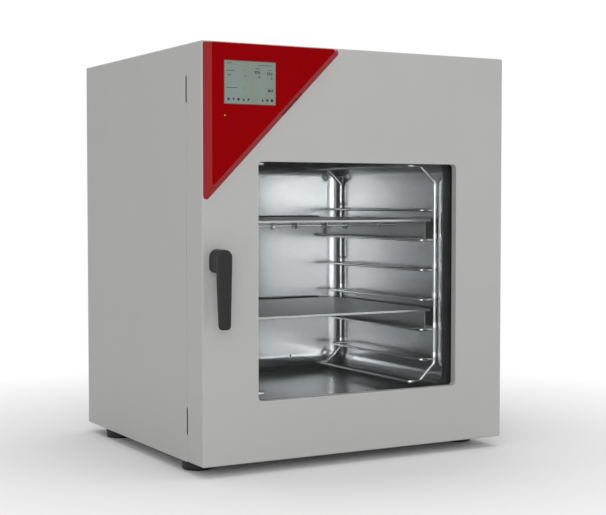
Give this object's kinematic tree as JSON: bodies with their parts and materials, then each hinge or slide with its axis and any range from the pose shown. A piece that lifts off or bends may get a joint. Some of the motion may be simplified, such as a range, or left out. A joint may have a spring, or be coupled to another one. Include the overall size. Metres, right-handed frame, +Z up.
{
  "type": "laboratory incubator",
  "caption": "Bench-top heated laboratory chamber: grey steel cabinet, hinged door with a large glass window, turning lever, triangular control panel, wire racks and shelf plates inside.",
  "frame": {"origin": "centre of the bounding box in plan, on the surface that the feet stand on", "axes": "+Z up, -Y towards the user at the door, +X to the right as seen by the user"},
  "size_m": [0.5856, 0.5606, 0.676],
  "materials": {
    "painted_steel": "fine-textured light grey powder coat",
    "zinc_steel": "zinc-coated sheet",
    "stainless": "ground stainless steel",
    "tank_stainless": "satin stainless steel with soft reflections",
    "wire_chrome": "electropolished wire",
    "shelf_aluminium": "bare aluminium sheet",
    "black_rubber": "matte black silicone rubber",
    "clear_glass": "clear float glass",
    "black_painted": "matte black paint",
    "mineral_wool": "fibrous mineral wool",
    "heater_silicone": "silicone heating mat",
    "red_panel": "satin red moulding",
    "dark_red_key": "dark red key",
    "screen": "glossy display with a grey-green picture",
    "green_lens": "green lens",
    "circuit_board": "green solder mask",
    "black_plastic": "fine-grained black moulding",
    "bronze_bush": "plain bearing bronze"
  },
  "bodies": {
    "cabinet": {"housing_wrap": "painted_steel", "front_frame": "painted_steel", "base_pan": "zinc_steel", "rear_panel": "zinc_steel", "service_plate": "zinc_steel", "rear_panel_screws": "zinc_steel", "foot_screws": "zinc_steel", "chamber": "tank_stainless", "door_gasket": "black_rubber", "insulation": "mineral_wool", "temperature_sensor": "stainless", "vacuum_pipe": "stainless", "vent_pipe": "stainless", "mains_inlet": "black_plastic", "hinge_anchors_cabinet": "zinc_steel", "slot_blanks_cabinet": "black_plastic", "latch_keeper": "stainless", "rack_right": "wire_chrome", "rack_left": "wire_chrome", "rack_rungs_right": "wire_chrome", "rack_rungs_left": "wire_chrome", "lower_shelf": "shelf_aluminium", "upper_shelf": "shelf_aluminium", "lower_shelf_channels": "shelf_aluminium", "upper_shelf_channels": "shelf_aluminium", "shelf_stops": "black_rubber", "clamp_rods": "wire_chrome", "clamp_nuts": "wire_chrome", "clamp_lugs": "shelf_aluminium", "heater_mats": "heater_silicone", "lower_hinge_cabinet_leaf": "stainless", "upper_hinge_cabinet_leaf": "stainless", "hinge_pins": "stainless", "feet": "black_rubber", "power_board": "circuit_board", "mains_filter": "zinc_steel", "terminal_block": "black_plastic"},
    "door": {"door_skin": "painted_steel", "door_inner_panel": "painted_steel", "door_insulation": "mineral_wool", "control_panel": "red_panel", "display": "screen", "controller_board": "circuit_board", "status_led": "green_lens", "latch_bush": "bronze_bush", "slot_blanks_door": "black_plastic", "hinge_anchors_door": "zinc_steel", "lower_hinge_door_leaf": "stainless", "upper_hinge_door_leaf": "stainless", "outer_pane": "clear_glass", "pane_carrier": "black_painted", "safety_glass": "clear_glass", "glass_clips": "stainless", "setting_blocks": "black_rubber"},
    "lever": {"lever": "black_plastic", "latch_spindle": "stainless", "latch_tongue": "stainless"},
    "power_key": {"power_key": "dark_red_key"}
  },
  "joints": [
    {"name": "door_hinge", "type": "hinge", "parent": "cabinet", "child": "door", "pos_m": [0.28775, -0.18625, 0.3034], "axis": [0, 0, 1], "range_deg": [0, 120]},
    {"name": "lever_turn", "type": "hinge", "parent": "door", "child": "lever", "pos_m": [-0.26975, -0.24425, 0.3445], "axis": [0, -1, 0], "range_deg": [0, 90]},
    {"name": "power_key_push", "type": "slide", "parent": "door", "child": "power_key", "axis": [-0.7071, 0, 0.7071], "range_m": [0, 0.0012], "stiffness_N_per_m": 400}
  ]
}
